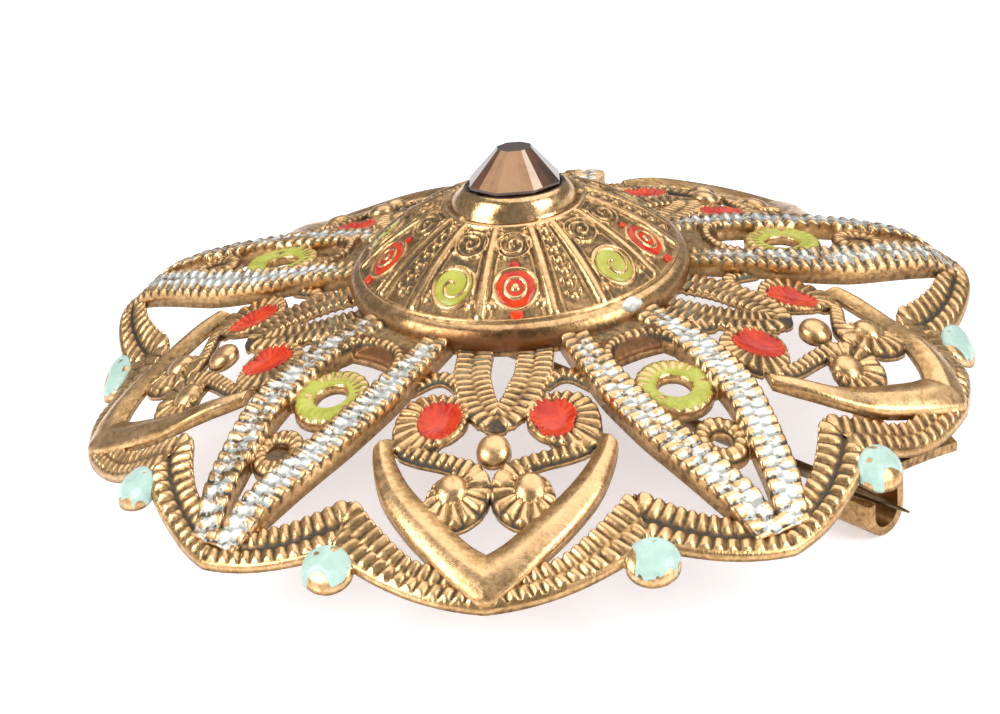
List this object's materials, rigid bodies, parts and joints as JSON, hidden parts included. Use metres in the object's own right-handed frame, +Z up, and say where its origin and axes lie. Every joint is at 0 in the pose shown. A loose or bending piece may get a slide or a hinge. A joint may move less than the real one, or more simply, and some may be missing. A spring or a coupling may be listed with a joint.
{
  "type": "filigree brooch",
  "caption": "Domed filigree flower brooch with enamelled scrolls, a raised boss, a faceted stone and a hinged pin with a hook catch.",
  "frame": {"origin": "on the flower's axis, level with the lowest point of the catch, with the brooch lying on its back", "axes": "+Z up through the stone, -Y towards the tip of a heart lobe; the closed pin stem runs from the hinge at -X +Y to the catch at +X -Y"},
  "size_m": [0.0588, 0.0588, 0.0204],
  "materials": {
    "antique_brass": "antiqued, dark in the recesses, with worn silver paint on the kite bands",
    "boss_brass": "antiqued, worn bright on the raised lines",
    "cup_brass": "polished",
    "fitting_brass": "dull, tarnished",
    "pin_brass": "drawn wire, tarnished",
    "smoky_glass": "faceted and polished",
    "mirror_foil": "mirror foil",
    "red_enamel": "glossy cold enamel",
    "green_enamel": "glossy cold enamel",
    "aqua_enamel": "glossy cold enamel, chipped"
  },
  "bodies": {
    "brooch": {"filigree_plate": "antique_brass", "boss_cap": "boss_brass", "stone_cup": "cup_brass", "stone": "smoky_glass", "foil_backing": "mirror_foil", "back_washer": "fitting_brass", "hinge_bracket": "fitting_brass", "hinge_rivet": "fitting_brass", "catch": "fitting_brass", "heart_enamel": "red_enamel", "ring_enamel": "green_enamel", "drop_enamel": "aqua_enamel", "boss_red_enamel": "red_enamel", "boss_green_enamel": "green_enamel"},
    "pin": {"pin_stem": "pin_brass"}
  },
  "joints": [
    {"name": "pin_hinge", "type": "hinge", "parent": "brooch", "child": "pin", "pos_m": [-0.01725, 0.02106, 0.0024], "axis": [0.6665, 0.7455, 0], "range_deg": [0, 105]}
  ]
}
